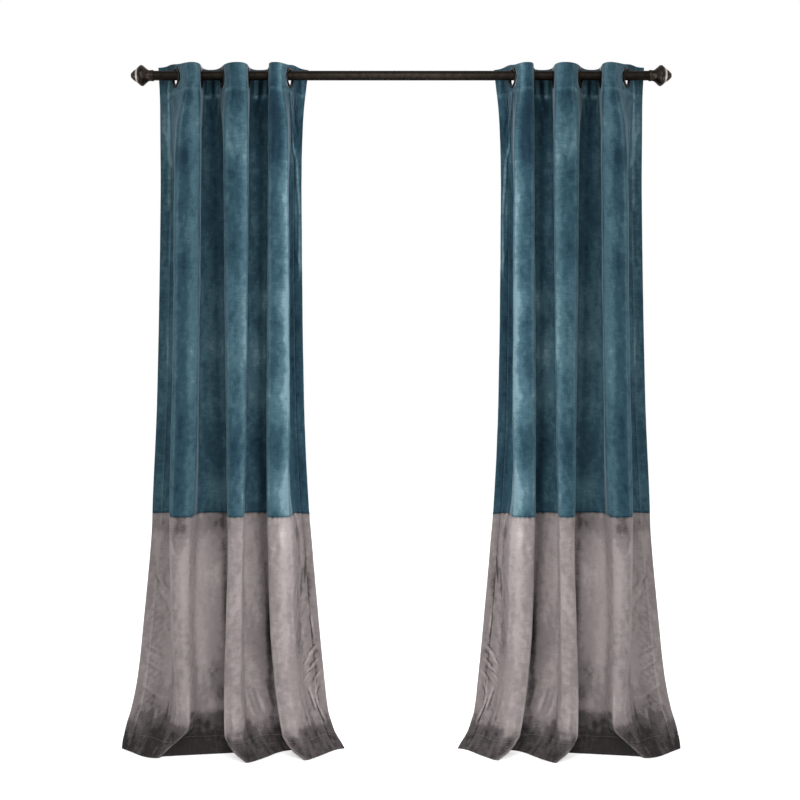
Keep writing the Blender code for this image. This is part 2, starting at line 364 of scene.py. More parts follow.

# %% [markdown]
# ## Creases, hems and the sewn seam as real relief
# Velvet that was folded in a packet keeps soft diagonal creases, most of them near the side
# hems of the lower band. Each one is written down as a stroke: its two ends on the flat cloth,
# its width and its height. The doubled hems stand a little proud, and along each line of
# stitches the cloth is pulled in and puckers. All of this moves the mesh itself, so it also
# shows from the side.

# %% Strokes on the flat cloth
# across, down, across, down, width, height: millimetres from the outer edge and the top edge.
UPPER_CREASES = (
    (12, 190, 30, 300, 5, 1.8), (60, 110, 86, 300, 6, -2.2), (44, 100, 56, 330, 5, 2.2),
    (24, 110, 20, 420, 4, 1.8), (30, 440, 26, 600, 5, 1.4), (882, 84, 943, 278, 4, 4.2),
    (943, 278, 957, 440, 4, 3.4), (957, 420, 955, 640, 3, 2.0), (884, 140, 916, 420, 6, -2.4),
    (922, 90, 946, 200, 5, -2.0), (170, 240, 184, 400, 8, 0.9), (470, 210, 496, 300, 8, -1.0),
    (800, 210, 792, 300, 7, 1.1), (20, 760, 30, 920, 5, 1.5), (946, 560, 956, 606, 5, 1.8),
    (302, 8, 304, 72, 6, 3.2), (319, 14, 322, 82, 5, -3.4), (336, 10, 335, 76, 6, 3.0),
    (352, 18, 351, 76, 5, -2.8), (622, 10, 626, 74, 6, 3.0), (640, 16, 641, 84, 5, -3.6),
    (657, 12, 655, 76, 6, 3.0), (671, 20, 668, 74, 5, -2.6), (36, 30, 22, 92, 6, 2.4),
    (944, 24, 951, 88, 6, 2.4), (196, 60, 212, 150, 7, 2.0), (446, 62, 440, 170, 7, 1.6),
    (300, 86, 306, 130, 5, -1.6), (345, 84, 340, 140, 5, 1.6), (650, 86, 644, 134, 5, 1.6),
)
LOWER_CREASES = (
    (28, 1572, 44, 1604, 4, 2.4), (44, 1590, 62, 1616, 4, -2.2), (36, 1610, 58, 1652, 4, 2.0),
    (62, 1640, 80, 1690, 5, 1.6), (18, 1510, 28, 1560, 4, 1.2), (22, 1800, 50, 1812, 4, 2.0),
    (34, 1822, 68, 1830, 4, -1.8), (20, 1846, 46, 1862, 4, 2.0), (48, 1868, 76, 1878, 4, 1.8),
    (24, 1890, 52, 1900, 4, -1.6), (16, 1922, 44, 1938, 5, 1.8), (52, 1946, 80, 1962, 5, 1.4),
    (66, 1720, 88, 1770, 6, -1.2), (940, 1520, 930, 1590, 5, 1.2), (938, 1700, 942, 1770, 4, 1.5),
    (914, 1570, 904, 1640, 5, -1.2), (948, 1790, 918, 1822, 4, 2.4), (944, 1810, 914, 1838, 4, -2.2),
    (950, 1832, 922, 1862, 4, 2.4), (940, 1858, 912, 1880, 4, -2.0), (952, 1872, 930, 1900, 4, 2.2),
    (926, 1828, 886, 1862, 4, 1.8), (920, 1880, 884, 1904, 4, 1.6), (946, 1910, 930, 1950, 4, -1.6),
    (906, 1930, 924, 1996, 5, 1.6), (926, 1960, 944, 2030, 4, 1.8), (854, 1900, 864, 1970, 6, 1.2),
    (868, 1960, 880, 2040, 5, 1.4), (330, 1880, 352, 1910, 6, 1.0), (346, 1870, 322, 1896, 6, -0.9),
    (372, 1960, 384, 2000, 5, 1.2), (576, 1930, 590, 1985, 6, 1.6), (600, 1950, 616, 2010, 6, -1.6),
    (624, 1940, 646, 2010, 6, 1.8), (660, 1930, 676, 1990, 6, -1.6), (700, 1980, 708, 2040, 5, 1.6),
    (736, 1980, 744, 2040, 5, 1.4), (120, 1970, 140, 2030, 6, 1.2), (74, 1996, 84, 2040, 5, 1.2),
    (506, 1976, 516, 2040, 5, 1.2), (474, 2000, 468, 2056, 5, -1.2), (804, 1410, 812, 1480, 7, 1.0),
    (422, 1414, 430, 1500, 8, -1.0), (478, 1402, 510, 1405, 4, 0.9), (784, 1397, 824, 1402, 4, 1.0),
    (154, 1440, 166, 1490, 7, -1.4), (484, 1474, 520, 1482, 5, 0.8),
)


def stroke(across, down, crease):
    """The relief of one crease: highest along its middle, fading at both ends."""
    u0, v0, u1, v1, width, height = crease
    run = np.array([u1 - u0, v1 - v0], float)
    length = np.hypot(*run)
    run /= length
    along = ((across - u0) * run[0] + (down - v0) * run[1]) / length
    side = (across - u0) * run[1] - (down - v0) * run[0]
    inside = np.clip(along, 0, 1)
    beyond = (along - inside) * length
    fade = np.sin(np.pi * np.clip(0.12 + inside * 0.76, 0, 1)) ** 0.7
    return height * fade * np.exp(-(side**2 + beyond**2) / (2 * (width * 0.6) ** 2))


print(len(UPPER_CREASES) + len(LOWER_CREASES), "creases in a panel")


# %% Soft waves, hems and puckers
def waves(across, down, seed, longest, shortest, tall):
    """A smooth random surface: a few sine waves of mixed direction, from a fixed seed."""
    dice = np.random.default_rng(seed)
    total = np.zeros(np.broadcast(across, down).shape)
    for _ in range(14):
        size = np.exp(dice.uniform(np.log(shortest), np.log(longest)))
        turn = dice.uniform(0, np.pi)
        total += (size / longest) ** 0.6 * np.sin(
            math.tau * (across * np.cos(turn) + down * np.sin(turn) / tall) / size
            + dice.uniform(0, math.tau)
        )
    return total / 14**0.5


def groove(distance, width):
    return np.exp(-((distance / width) ** 2))


def puckers(distance, place, seed, pitch):
    """Short ripples across a line of stitches, which die out on both sides of it."""
    beat = np.sin(math.tau * place / pitch + waves(place, distance * 0, seed, 160, 30, 1) * 3.4)
    strength = 0.55 + 0.45 * waves(place, distance * 0, seed + 40, 190, 60, 1)
    return beat * strength * np.exp(-np.abs(distance) / 8)


def rumples(across, down):
    """Small slanting wrinkles where the side hems of the lower band were crushed."""
    slanted = 0.8 * waves(across + down * 0.75, down * 0.8, 41, 70, 26, 1.0)
    slanted += 0.45 * waves(across + down * 0.9, down * 0.7, 42, 30, 13, 1.0)
    near_outer = np.exp(-(((across - 46) / 44) ** 2)) * np.exp(-(((down - 1790) / 210) ** 2))
    near_inner = np.exp(-(((across - 915) / 46) ** 2)) * np.exp(-(((down - 1850) / 190) ** 2))
    return slanted * (0.75 * near_outer + 0.8 * near_inner)


def relief(across, down):
    """How far the velvet stands out from its smooth folds, in millimetres."""
    height = 1.0 * waves(across, down, 3, 240, 60, 2.6)
    height += 0.34 * waves(across, down, 8, 60, 18, 1.8)
    height += rumples(across, down)
    for crease in UPPER_CREASES + LOWER_CREASES:
        height += stroke(across, down, crease)
    heading = down - HEADING
    height += 0.7 / (1 + np.exp(heading / 1.2)) - 1.1 * groove(heading, 2.2)
    height += 0.9 * puckers(heading, across, 21, 23)
    seam = down - SEAM_DOWN
    height -= 1.9 * groove(seam, 3.6)
    height += (0.7 + 0.4 * (seam > 0)) * puckers(seam, across, 22, 19)
    hem = down - (LENGTH - BOTTOM_HEM)
    height += 0.7 / (1 + np.exp(-hem / 1.2)) - 1.0 * groove(hem, 2.4)
    height += 0.7 * puckers(hem, across, 23, 29)
    for edge in (across, CLOTH_WIDTH - across):
        height += 0.5 / (1 + np.exp((edge - SIDE_HEM) / 1.4)) - 0.5 * groove(edge - SIDE_HEM, 2.2)
        height += 0.7 * puckers(edge - SIDE_HEM, down, 24, 34) * (edge < 60)
    return height


heights = relief(np.array([30.0, 400.0, 800.0]), np.full(3, 500.0))
print("relief half a metre down, at three places:", heights.round(2).tolist(), "mm")

# %% [markdown]
# ## The velvet's nap
# Velvet changes its tone with the lie of its pile: brushed one way it is pale, brushed the
# other way it is deep. On the real curtains this gives long cloudy patches. The same tone also
# carries painted light and shade: a painted sheen where the front folds turn away, painted
# light and shade across the front folds and on the creases' slopes, a painted highlight under
# the heading, and painted shadow along the seam, beside the folds and in a dark zone where the
# hem leans outward on the floor. Those patches are written down like the creases, and each
# vertex of the cloth carries the resulting tone in an attribute, from 0 for deep to 1 for pale,
# that the material reads.

# %% Tone patches: nap, painted shade and painted highlights
# across, down, half width, half height, strength: millimetres on the flat cloth. Most patches are
# the nap's clouds; some are painted shade beside the folds and painted highlights on the pleats.
UPPER_NAP_AND_SHADE = (
    (166, 168, 34, 42, 0.06), (156, 98, 24, 16, -0.14), (160, 290, 34, 44, -0.16),
    (165, 415, 34, 50, -0.06), (168, 520, 24, 30, 0.08), (176, 610, 30, 40, -0.08),
    (172, 860, 36, 80, 0.06), (172, 1060, 40, 80, -0.10), (176, 1180, 40, 70, -0.12),
    (172, 1310, 40, 50, -0.06), (496, 105, 40, 42, -0.24), (506, 200, 20, 34, 0.08),
    (482, 245, 34, 40, 0.18), (486, 345, 36, 50, -0.12), (486, 480, 36, 60, -0.04),
    (480, 570, 30, 40, -0.10), (500, 740, 34, 60, 0.06), (500, 870, 34, 60, 0.12),
    (480, 1000, 30, 50, 0.02), (490, 1170, 36, 60, -0.16), (506, 1290, 26, 60, 0.04),
    (800, 90, 40, 40, -0.16), (806, 170, 44, 70, -0.34), (812, 262, 34, 46, -0.30),
    (785, 300, 20, 40, -0.06), (818, 420, 18, 90, 0.08), (800, 560, 36, 60, 0.04),
    (808, 720, 30, 70, 0.14), (812, 860, 30, 50, 0.10), (790, 800, 20, 40, -0.10),
    (796, 1010, 36, 70, 0.20), (795, 1170, 36, 60, -0.14), (806, 1300, 34, 66, 0.30),
    (826, 708, 14, 50, 0.10), (520, 861, 14, 60, 0.10), (335, 80, 50, 30, -0.06),
    (308, 85, 13, 8, 0.34), (350, 82, 14, 8, 0.32), (327, 58, 5, 24, -0.26),
    (636, 85, 13, 8, 0.30), (662, 82, 12, 8, 0.30), (648, 56, 5, 24, -0.24),
    (330, 240, 50, 80, 0.02), (335, 560, 50, 50, -0.04), (328, 700, 50, 60, 0.14),
    (340, 850, 50, 70, 0.20), (330, 1010, 50, 50, 0.06), (330, 1170, 50, 50, -0.02),
    (346, 1300, 40, 50, 0.14), (362, 930, 22, 260, 0.16), (366, 1320, 18, 60, 0.10),
    (648, 110, 40, 60, -0.12), (655, 290, 40, 50, 0.08), (660, 470, 30, 60, 0.06),
    (656, 600, 30, 40, 0.02), (664, 715, 28, 60, 0.34), (648, 870, 40, 60, 0.36),
    (648, 1000, 36, 60, 0.28), (650, 1180, 40, 50, -0.12), (634, 1300, 26, 40, 0.04),
    (668, 1290, 16, 60, -0.18), (20, 190, 22, 120, 0.36), (92, 250, 26, 180, -0.20),
    (20, 420, 16, 130, 0.06), (26, 860, 20, 90, 0.14), (18, 1020, 16, 60, 0.08),
    (34, 1140, 18, 80, -0.06), (22, 1300, 20, 50, 0.08), (930, 130, 30, 90, -0.22),
    (866, 240, 14, 200, -0.16), (932, 250, 9, 60, 0.22), (945, 380, 9, 80, 0.24),
    (954, 540, 7, 100, 0.16), (930, 500, 24, 220, -0.14), (950, 400, 12, 120, 0.14),
    (940, 900, 26, 220, -0.14), (940, 1250, 26, 120, -0.12),
)
LOWER_NAP_AND_SHADE = (
    (180, 1412, 26, 46, -0.30), (186, 1470, 18, 40, -0.06), (196, 1580, 20, 120, 0.14),
    (136, 1570, 14, 110, 0.10), (60, 1415, 80, 26, -0.20), (24, 1450, 18, 60, 0.10),
    (76, 1500, 24, 60, 0.10), (84, 1660, 26, 90, 0.16), (36, 1640, 24, 60, 0.06),
    (100, 1850, 20, 110, 0.20), (60, 1790, 26, 60, 0.08), (330, 1410, 46, 22, -0.20),
    (356, 1400, 14, 20, -0.08), (310, 1560, 44, 110, 0.24), (348, 1600, 20, 110, 0.20),
    (376, 1560, 12, 200, -0.20), (315, 1780, 40, 110, 0.22), (346, 1880, 28, 26, -0.20),
    (356, 1940, 22, 30, -0.22), (300, 1850, 22, 60, 0.10), (325, 1985, 14, 34, 0.20),
    (384, 1985, 18, 60, -0.24), (480, 1408, 40, 26, -0.12), (474, 1580, 14, 120, 0.08),
    (500, 1440, 26, 50, 0.06), (490, 1700, 30, 140, 0.04), (520, 1560, 14, 120, 0.04),
    (612, 1450, 24, 60, 0.14), (640, 1412, 30, 24, 0.04), (620, 1590, 34, 110, 0.10),
    (630, 1790, 34, 70, -0.08), (606, 1890, 30, 60, 0.10), (118, 1690, 12, 220, -0.12),
    (142, 1690, 12, 200, 0.08), (668, 1560, 14, 120, -0.04), (672, 1745, 11, 110, -0.36),
    (670, 1950, 10, 110, -0.20), (826, 1430, 22, 60, 0.20), (790, 1660, 40, 160, -0.05),
    (792, 1430, 14, 30, 0.06), (868, 1440, 24, 34, -0.04), (800, 1700, 34, 150, 0.02),
    (882, 1760, 40, 240, -0.16), (944, 1720, 22, 220, -0.10), (886, 1510, 34, 110, -0.08),
    (904, 2010, 76, 60, -0.10), (60, 1965, 50, 50, -0.10), (900, 1430, 18, 22, -0.22),
    (935, 1470, 24, 60, -0.04), (940, 1580, 24, 50, -0.14), (950, 1780, 16, 90, -0.12),
    (930, 1880, 24, 40, -0.06), (890, 1880, 26, 50, 0.08), (930, 1970, 20, 40, 0.06),
)
# How high over the floor the painted shade of the hem reaches, and how dark it is:
# across, height, depth.
HEM_PAINTED_SHADE = (
    (0, 84, 0.42), (60, 104, 0.46), (110, 110, 0.46), (150, 110, 0.48), (180, 100, 0.48),
    (204, 84, 0.48), (222, 84, 0.48), (232, 112, 0.48), (262, 110, 0.48), (300, 98, 0.48),
    (345, 110, 0.48), (412, 114, 0.50), (440, 98, 0.46), (470, 80, 0.42), (510, 62, 0.40),
    (545, 68, 0.42), (570, 94, 0.42), (600, 74, 0.38), (660, 76, 0.40), (716, 72, 0.42),
    (783, 64, 0.40), (853, 72, 0.40), (900, 78, 0.38), (965, 78, 0.34),
)
print(len(UPPER_NAP_AND_SHADE) + len(LOWER_NAP_AND_SHADE), "tone patches and", len(HEM_PAINTED_SHADE), "hem heights")


# %% Tone of every point
# Painted light and shade over a front fold, partly the pile's lie: its first corner's number, a
# painted sheen on its outer rim, its shaded part, its lit part, and where that is as a share of
# the fold. First above the seam, then below it.
PAINTED_FOLD_SHADING = (
    ((2, 0.18, -0.07, 0.15, 0.84), (6, 0.12, -0.03, 0.19, 0.95), (10, 0.14, -0.05, 0.28, 0.96)),
    ((2, 0.08, 0.00, 0.05, 0.80), (6, 0.06, 0.00, 0.04, 0.80), (10, 0.04, -0.02, 0.10, 0.65)),
)
MIDDLE_TONE = 0.56
# The corners of the folds whose edges catch a thin line of light just over the floor.
LIT_EDGES = (3, 6, 10)
# The corners where a back fold goes out of sight behind the next front fold, in its shadow.
SHADED_ENDS = (5, 9)


def painted_fold_shading(across, corners, below_seam):
    """Painted light and shade over each front fold, partly the pile's lie: a painted rim of sheen, a shaded
    part, a lit part.
    """
    value = np.zeros(across.shape)
    for corner, rim, deeper, paler, where in PAINTED_FOLD_SHADING[below_seam]:
        start, end = corners[:, corner, None], corners[:, corner + 1, None]
        part = (across / CLOTH_WIDTH - start) / (end - start)
        value += rim * groove(part - 0.04, 0.07)
        value += deeper * groove(part - 0.34, 0.20)
        value += paler * groove(part - where, 0.22)
    return value


def tone(across, down, outward, depth_share, corners, below_seam):
    """The pile's lie with painted light and shade, 0 deep to 1 pale, before the material's mottling."""
    value = MIDDLE_TONE
    for u, v, wide, tall, strength in LOWER_NAP_AND_SHADE if below_seam else UPPER_NAP_AND_SHADE:
        value = value + strength * np.exp(-(((across - u) / wide) ** 2) - ((down - v) / tall) ** 2)
    value = value + 0.035 * waves(across, down, 31, 220, 50, 3.0)
    value = value + 0.030 * waves(across, down, 32, 40, 12, 1.2)
    value = value + painted_fold_shading(across, corners, below_seam)
    # A painted sheen where the front folds' surface turns sideways.
    painted_edge_sheen = groove(np.abs(outward[:, :, 0]) - 0.80, 0.16)
    value = value + (0.06 if below_seam else 0.10) * painted_edge_sheen * (depth_share < 0)
    # Painted light and shade on the relief: slopes that face the gap between the panels are paler.
    slope = np.gradient(relief(across, down), across[0], axis=1)
    value = value - np.clip(0.9 * slope, -0.24, 0.22)
    # A painted highlight just under the heading's stitches, and a painted shadow along the seam.
    value = value + 0.12 * groove(down - HEADING - 5, 4) - 0.22 * groove(down - SEAM_DOWN, 4.5)
    for corner in SHADED_ENDS:
        from_end = across - corners[:, corner, None] * CLOTH_WIDTH
        value = value - 0.16 * groove(from_end + 25, 9)
    if below_seam:
        # Painted shade in a zone just over the floor, darkest at the bottom.
        places, heights, depths = zip(*HEM_PAINTED_SHADE)
        top = np.interp(across, places, heights)
        deep = np.interp(across, places, depths)
        over = (LENGTH - down) - top + 8 * waves(across, down, 33, 110, 34, 0.6)
        soft = 10 + 14 * groove(across, 140)
        value = value - deep / (1 + np.exp(over / soft)) - 0.06 / (1 + np.exp((over + 34) / 10))
        low_down = 1 / (1 + np.exp((LENGTH - down - 170) / 25))
        for corner in LIT_EDGES:
            from_edge = across - corners[:, corner, None] * CLOTH_WIDTH
            value = value + 0.30 * low_down * groove(from_edge, 5)
    return np.clip(value, 0, 1)


# %% [markdown]
# ## The four cloths
# Each cloth is a grid whose vertices are carried onto the folds, row by row, then moved by the
# relief. A round hole is opened for each eyelet by taking out the faces inside it and drawing
# the ragged edge onto a circle, which the eyelet's flange hides. Solidify gives the cloth its
# thickness. The right panel is the left one mirrored, as in the photograph.

# %% Eyelets' places, from the solids
# The left panel is the one that is drawn, and the right one has its X turned round.
WORDS = {"left": 1, "right": -1}
EYELET_RADIUS = 30.5
EYELET_HALF = 4.7
ANY_DEPTH = 60


def eyelet_places():
    """Centre, half size and slope's sign of the left panel's eyelets, in millimetres."""
    corners = corners_at(TOP, ANY_DEPTH)
    places = []
    for number in range(6):
        low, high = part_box(f"left_eyelet_{number + 1}")
        half = (high - low) / 2 / MM
        run = Vector((corners[2 + 2 * number] - corners[1 + 2 * number]).tolist() + [0])
        flip = 1 if run.x * run.y > 0 else -1
        places.append(((low + high) / 2 / MM, half, flip))
    return places


def half_width(degrees):
    """Half a ring's extent along X when its axis is turned by some degrees."""
    turn = math.radians(degrees)
    return EYELET_RADIUS * math.sin(turn) + EYELET_HALF * math.cos(turn)


def axis_from_box(half, flip):
    """A ring's axis from its box, to the nearest degree."""
    best = min(range(0, 60), key=lambda degrees: abs(half_width(degrees) - half.x))
    return Vector((math.cos(math.radians(best)), -flip * math.sin(math.radians(best)), 0))


EYELETS = [(centre, axis_from_box(half, flip)) for centre, half, flip in eyelet_places()]
for centre, axis in EYELETS:
    print("eyelet at", [round(v, 1) for v in centre], "axis", [round(v, 2) for v in axis])


# %% Carry the flat cloth onto the folds
FLAT_WITHIN = 33
EASED_OVER = 14
# Where the top edge of the heading stands higher: across, half width, rise.
RISES = ((52, 52, 9), (905, 42, 8))
OVER_FLOOR = 1.2


def near_eyelets(points):
    """0 at an eyelet, rising to 1 away from it, so the cloth lies flat under the flanges."""
    keep = np.ones(points.shape[:2])
    for centre, axis in EYELETS:
        distance = np.linalg.norm(points - np.array(centre), axis=2)
        keep = np.minimum(keep, np.clip((distance - FLAT_WITHIN) / EASED_OVER, 0, 1))
    return keep


def folded(down_rows):
    """Points, outward directions, tone and flat place of a grid on the folds, in millimetres."""
    smooth = np.zeros((len(down_rows), len(ACROSS), 3))
    share = np.zeros(smooth.shape[:2])
    corners = np.zeros((len(down_rows), len(AT_ROD)))
    for row, down in enumerate(down_rows):
        line = line_at(TOP - down)
        steps = steps_along(line)
        at = ACROSS / CLOTH_WIDTH * steps[-1]
        smooth[row, :, 0] = np.interp(at, steps, line[:, 0])
        smooth[row, :, 1] = np.interp(at, steps, line[:, 1])
        smooth[row, :, 2] = TOP - down
        middle = (smooth[row, :, 1].max() + smooth[row, :, 1].min()) / 2
        half = (smooth[row, :, 1].max() - smooth[row, :, 1].min()) / 2
        share[row] = (smooth[row, :, 1] - middle) / half
        corners[row] = corner_steps(line)
    outward = np.cross(np.gradient(smooth, axis=0), np.gradient(smooth, axis=1))
    outward /= np.linalg.norm(outward, axis=2, keepdims=True)
    across, down = np.meshgrid(ACROSS, down_rows)
    keep = near_eyelets(smooth)
    points = smooth + outward * (relief(across, down) * keep)[:, :, None]
    top_edge = 3.0 * share - 1.4
    for place, wide, rise in RISES:
        top_edge = top_edge + rise * groove(across - place, wide)
    points[:, :, 2] += top_edge * np.exp(-down / 60) * (down < 300)
    points[:, :, 2] = np.maximum(points[:, :, 2], FLOOR_HEIGHT / MM + OVER_FLOOR)
    tones = tone(across, down, outward, share, corners, down_rows[0] >= SEAM_DOWN)
    return points, outward, tones, across, down


upper = folded(UPPER_DOWN)
lower = folded(LOWER_DOWN)
print("upper cloth", upper[0].shape[:2], "lower band", lower[0].shape[:2])


# %% A cloth as a mesh
CLOTH_THICKNESS = 2.2
HOLE_RADIUS = 27


def cloth_piece(name, grid, side, holes):
    points, _, tones, across, down = grid
    rows, columns = tones.shape
    bm = bmesh.new()
    bmesh.ops.create_grid(bm, x_segments=columns - 1, y_segments=rows - 1, size=1)
    flat = bm.loops.layers.uv.new("cloth")
    tone_and_shade_layer = bm.verts.layers.float.new("nap_and_shade")
    place_of = {}
    for vertex in bm.verts:
        column = round((vertex.co.x + 1) / 2 * (columns - 1))
        row = round((1 - vertex.co.y) / 2 * (rows - 1))
        place_of[vertex] = (row, column)
        vertex[tone_and_shade_layer] = float(tones[row, column])
    for face in bm.faces:
        for corner in face.loops:
            row, column = place_of[corner.vert]
            corner[flat].uv = (across[row, column] * MM, (LENGTH - down[row, column]) * MM)
    for vertex, (row, column) in place_of.items():
        x, y, z = points[row, column]
        vertex.co = Vector((side * x, y, z)) * MM
    if holes:
        open_eyelet_holes(bm, side)
    if side < 0:
        bmesh.ops.reverse_faces(bm, faces=bm.faces)
    piece = mesh_piece(name, bm)
    thick = piece.modifiers.new("cloth thickness", "SOLIDIFY")
    thick.thickness = CLOTH_THICKNESS * MM
    thick.offset = 0
    return piece


def open_eyelet_holes(bm, side):
    """Takes out the faces inside each eyelet's neck and rounds the edge that is left."""
    radius = HOLE_RADIUS * MM
    for centre, axis in EYELETS:
        middle = Vector((side * centre.x, centre.y, centre.z)) * MM
        along = Vector((side * axis.x, axis.y, 0))
        near = [f for f in bm.faces if (f.calc_center_median() - middle).length < radius]
        rim = {v for f in near for v in f.verts if any(g not in near for g in v.link_faces)}
        bmesh.ops.delete(bm, geom=near, context="FACES")
        for vertex in rim:
            if not vertex.is_valid:
                continue
            offset = vertex.co - middle
            lean = along * offset.dot(along)
            vertex.co = middle + lean + (offset - lean).normalized() * radius


cloths = {}
for word, side in WORDS.items():
    cloths[word + "_upper"] = cloth_piece(word + "_upper_velvet", upper, side, True)
    cloths[word + "_lower"] = cloth_piece(word + "_lower_velvet", lower, side, False)
for piece in cloths.values():
    print(piece.name, len(piece.data.polygons), "faces before the thickness")

# %% [markdown]
# ## A velvet that is made of nodes
# The shader's sheen stands for the upright pile: it catches light at grazing angles, so every
# fold gets a pale rim. Under it the colour runs from deep to pale with the nap attribute, which
# also carries painted light and shade, and a few noises on the cloth's own flat map add clouds,
# crush marks and fine streaks. The bump is the pile itself, about a millimetre across, and
# flattened spots up to a centimetre wide.


# %% Nodes for the velvet
def blank_finish(name):
    """A new material, its node tree and its shader."""
    finish = bpy.data.materials.new(name)
    finish.use_nodes = True
    tree = finish.node_tree
    return finish, tree, tree.nodes["Principled BSDF"]


def noise(tree, vector, scale, stretch, detail, rough=0.6):
    """A noise on the flat cloth, stretched along its length."""
    place = add_node(tree, "Mapping", {"Scale": (scale, scale / stretch, 1)})
    connect(tree, vector, place.inputs["Vector"])
    made = add_node(tree, "TexNoise", {"Scale": 1.0, "Detail": detail, "Roughness": rough})
    connect(tree, place.outputs[0], made.inputs["Vector"])
    return made.outputs["Fac"]


def added(tree, first, second, amount):
    """first + (second - 0.5) * amount"""
    spread_out = add_node(tree, "Math", {1: amount, 2: -0.5 * amount})
    spread_out.operation = "MULTIPLY_ADD"
    connect(tree, second, spread_out.inputs[0])
    total = add_node(tree, "Math")
    total.operation = "ADD"
    connect(tree, first, total.inputs[0])
    connect(tree, spread_out.outputs[0], total.inputs[1])
    return total.outputs[0]


# scale, stretch down the cloth, detail, amount: clouds, crush marks, streaks, brush lines, specks.
MOTTLING = (
    (20, 1.7, 5.0, 0.40),
    (70, 1.1, 4.0, 0.36),
    (150, 7.0, 2.0, 0.14),
    (26, 0.09, 3.0, 0.20),
    (330, 1.0, 2.0, 0.30),
)
print(len(MOTTLING), "layers of mottling")


# %% Velvet material
def velvet(name, tones, mottled, sheen_weight, sheen_colour):
    finish, tree, shader = blank_finish(name)
    flat = add_node(tree, "UVMap")
    flat.uv_map = "cloth"
    nap_and_shade = add_node(tree, "Attribute")
    nap_and_shade.attribute_name = "nap_and_shade"
    tone_and_shade_value = nap_and_shade.outputs["Fac"]
    for scale, stretch, detail, amount in MOTTLING:
        marks = noise(tree, flat.outputs[0], scale, stretch, detail)
        tone_and_shade_value = added(tree, tone_and_shade_value, marks, amount * mottled)
    colours = add_node(tree, "ValToRGB")
    ramp = colours.color_ramp
    ramp.interpolation = "EASE"
    for number, (place, colour) in enumerate(tones):
        stop = ramp.elements[number] if number < 2 else ramp.elements.new(place)
        stop.position = place
        stop.color = (*colour, 1)
    connect(tree, tone_and_shade_value, colours.inputs[0])
    connect(tree, colours.outputs[0], shader.inputs["Base Color"])
    rough = add_node(tree, "MapRange", {"To Min": 0.92, "To Max": 0.74})
    connect(tree, tone_and_shade_value, rough.inputs["Value"])
    connect(tree, rough.outputs[0], shader.inputs["Roughness"])
    shader.inputs["Specular IOR Level"].default_value = 0.12
    shader.inputs["Sheen Weight"].default_value = sheen_weight
    shader.inputs["Sheen Roughness"].default_value = 0.34
    shader.inputs["Sheen Tint"].default_value = (*sheen_colour, 1)
    crushed = add_node(tree, "Bump", {"Strength": 0.45, "Distance": 0.0012})
    connect(tree, noise(tree, flat.outputs[0], 95, 1.8, 3.0), crushed.inputs["Height"])
    upright = add_node(tree, "Bump", {"Strength": 0.35, "Distance": 0.0005})
    connect(tree, noise(tree, flat.outputs[0], 900, 1.3, 2.0, 0.7), upright.inputs["Height"])
    connect(tree, crushed.outputs[0], upright.inputs["Normal"])
    connect(tree, upright.outputs[0], shader.inputs["Normal"])
    return finish


# Each tone is a place on the ramp and its colour. The two ends come first.
TEAL = ((0.0, (0.004, 0.013, 0.022)), (1.0, (0.138, 0.226, 0.266)), (0.30, (0.009, 0.028, 0.045)),
        (0.50, (0.020, 0.054, 0.076)), (0.72, (0.047, 0.102, 0.130)))
GREY = ((0.0, (0.022, 0.019, 0.019)), (1.0, (0.424, 0.378, 0.370)), (0.22, (0.074, 0.063, 0.064)),
        (0.48, (0.197, 0.172, 0.170)), (0.72, (0.296, 0.262, 0.258)))
teal_velvet = velvet("teal velvet", TEAL, 1.0, 0.35, (0.70, 0.89, 1.0))
grey_velvet = velvet("warm grey velvet", GREY, 0.75, 0.28, (1.0, 0.96, 0.95))
for part_name, piece in cloths.items():
    piece.data.materials.append(grey_velvet if part_name.endswith("lower") else teal_velvet)
print("velvets:", teal_velvet.name, "and", grey_velvet.name)

# %% [markdown]
# ## Stitches
# The heading, the side hems and the bottom hem are sewn with one line of small stitches in the
# cloth's own colour. Each stitch is a plump little bead of thread, drawn out along the line and
# nearly half sunk in the cloth. There are hundreds, so one has only a few faces.

# %% Thread along the hems
STITCH_PITCH = 5.0
STITCH_LENGTH = 3.6
STITCH_RADIUS = 0.45
STITCH_MARGIN = 4


def on_cloth(grid, across_at, down_at):
    """The point and outward direction on a folded grid at a flat place."""
    points, outward, _, across, down = grid
    column = np.interp(across_at, across[0], np.arange(across.shape[1]))
    row = np.interp(down_at, down[:, 0], np.arange(down.shape[0]))
    r0, c0 = int(min(row, across.shape[0] - 2)), int(min(column, across.shape[1] - 2))
    fr, fc = row - r0, column - c0
    found = []
    for field in (points, outward):
        top = field[r0, c0] * (1 - fc) + field[r0, c0 + 1] * fc
        low = field[r0 + 1, c0] * (1 - fc) + field[r0 + 1, c0 + 1] * fc
        found.append(Vector((top * (1 - fr) + low * fr).tolist()))
    return found


def stitch_line(bm, grid, start, end, side):
    """Stitches from one flat place to another: plump little beads, drawn out along the line."""
    run = Vector(end) - Vector(start)
    count = int(run.length / STITCH_PITCH)
    for number in range(count):
        middle = Vector(start) + run * ((number + 0.5) / count)
        half = run.normalized() * STITCH_LENGTH / 2
        first, _ = on_cloth(grid, *(middle - half))
        last, _ = on_cloth(grid, *(middle + half))
        heart, out = on_cloth(grid, *middle)
        along = (last - first) / 2
        beside = along.cross(out).normalized() * STITCH_RADIUS
        up = beside.cross(along).normalized() * STITCH_RADIUS
        core = heart + up.normalized() * (CLOTH_THICKNESS / 2 + STITCH_RADIUS * 0.2)
        place = Matrix((beside, along, up)).transposed().to_4x4()
        place.translation = core
        mirror = Matrix.Diagonal((side * MM, MM, MM, 1))
        bmesh.ops.create_icosphere(bm, subdivisions=1, radius=1, matrix=mirror @ place)


